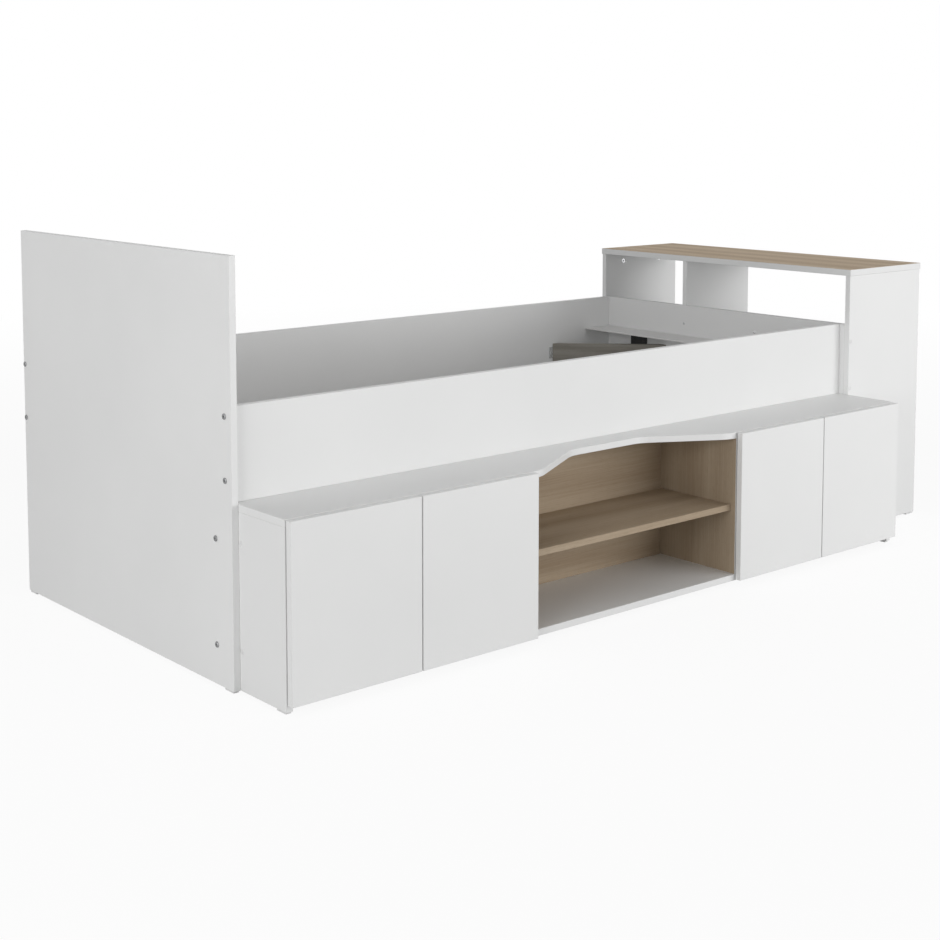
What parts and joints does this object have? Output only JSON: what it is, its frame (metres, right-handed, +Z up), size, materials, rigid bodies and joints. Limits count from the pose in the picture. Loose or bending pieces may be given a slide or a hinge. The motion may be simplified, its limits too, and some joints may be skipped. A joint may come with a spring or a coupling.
{
  "type": "kids bed",
  "caption": "Single kids bed frame with a low storage bench with doors and a curved open niche along its front, and a see-through bookcase headboard.",
  "frame": {"origin": "centre of the bed's footprint, on the floor", "axes": "+X from the foot panel to the head bookcase, +Y from the bench doors to the back, +Z up"},
  "size_m": [2.3984, 1.166, 0.914],
  "materials": {
    "white_board": "satin white melamine",
    "oak_board": "matt oak decor",
    "oak_faced_board": "oak decor faces with white edges",
    "brace_wood": "plain grey-brown wood",
    "back_sheet": "painted hardboard",
    "steel": "zinc plated",
    "black_steel": "black powder coat",
    "white_plastic": "matt",
    "grey_plastic": "matt",
    "black_plastic": "matt"
  },
  "bodies": {
    "frame": {"foot_panel": "white_board", "front_rail": "white_board", "rear_rail": "white_board", "head_panel": "white_board", "head_front_side": "white_board", "head_rear_side": "white_board", "head_shelf": "white_board", "head_bottom": "white_board", "bench_left_side": "white_board", "bench_right_side": "white_board", "bench_top": "white_board", "bench_bottom": "white_board", "head_partition": "white_board", "niche_back": "oak_board", "niche_shelf": "oak_board", "head_top": "oak_faced_board", "bench_left_partition": "oak_faced_board", "bench_right_partition": "oak_faced_board", "corner_braces": "brace_wood", "head_ledge": "back_sheet", "head_back": "back_sheet", "bench_left_back": "back_sheet", "bench_right_back": "back_sheet", "rail_bolts": "steel", "bench_bolts": "steel", "barrel_nuts": "steel", "sleeve_nuts": "steel", "head_screws": "steel", "bench_screws": "steel", "cam_locks": "steel", "shelf_pins": "steel", "hinge_arms": "steel", "hinge_plates": "steel", "brace_plates": "steel", "ledge_brackets": "black_steel", "screw_caps": "white_plastic", "hole_plugs": "grey_plastic", "latch_bodies": "grey_plastic", "floor_glides": "black_plastic", "bench_feet": "black_plastic"},
    "door_1": {"door_1": "white_board", "hinge_cups_1": "steel", "strike_1": "steel"},
    "plunger_1": {"latch_plunger_1": "grey_plastic"},
    "door_2": {"door_2": "white_board", "hinge_cups_2": "steel", "strike_2": "steel"},
    "plunger_2": {"latch_plunger_2": "grey_plastic"},
    "door_3": {"door_3": "white_board", "hinge_cups_3": "steel", "strike_3": "steel"},
    "plunger_3": {"latch_plunger_3": "grey_plastic"},
    "door_4": {"door_4": "white_board", "hinge_cups_4": "steel", "strike_4": "steel"},
    "plunger_4": {"latch_plunger_4": "grey_plastic"}
  },
  "joints": [
    {"name": "door_1_swing", "type": "hinge", "parent": "frame", "child": "door_1", "pos_m": [-1.17575, -0.579, 0.2095], "axis": [0, 0, -1], "range_deg": [0, 95]},
    {"name": "door_2_swing", "type": "hinge", "parent": "frame", "child": "door_2", "pos_m": [-0.51525, -0.579, 0.2095], "axis": [0, 0, 1], "range_deg": [0, 95]},
    {"name": "door_3_swing", "type": "hinge", "parent": "frame", "child": "door_3", "pos_m": [0.19175, -0.579, 0.2095], "axis": [0, 0, -1], "range_deg": [0, 95]},
    {"name": "door_4_swing", "type": "hinge", "parent": "frame", "child": "door_4", "pos_m": [0.85225, -0.579, 0.2095], "axis": [0, 0, 1], "range_deg": [0, 95]},
    {"name": "plunger_1_press", "type": "slide", "parent": "frame", "child": "plunger_1", "axis": [0, 1, 0], "range_m": [0, 0.003], "stiffness_N_per_m": 400, "springref_m": -0.001},
    {"name": "plunger_2_press", "type": "slide", "parent": "frame", "child": "plunger_2", "axis": [0, 1, 0], "range_m": [0, 0.003], "stiffness_N_per_m": 400, "springref_m": -0.001},
    {"name": "plunger_3_press", "type": "slide", "parent": "frame", "child": "plunger_3", "axis": [0, 1, 0], "range_m": [0, 0.003], "stiffness_N_per_m": 400, "springref_m": -0.001},
    {"name": "plunger_4_press", "type": "slide", "parent": "frame", "child": "plunger_4", "axis": [0, 1, 0], "range_m": [0, 0.003], "stiffness_N_per_m": 400, "springref_m": -0.001}
  ]
}
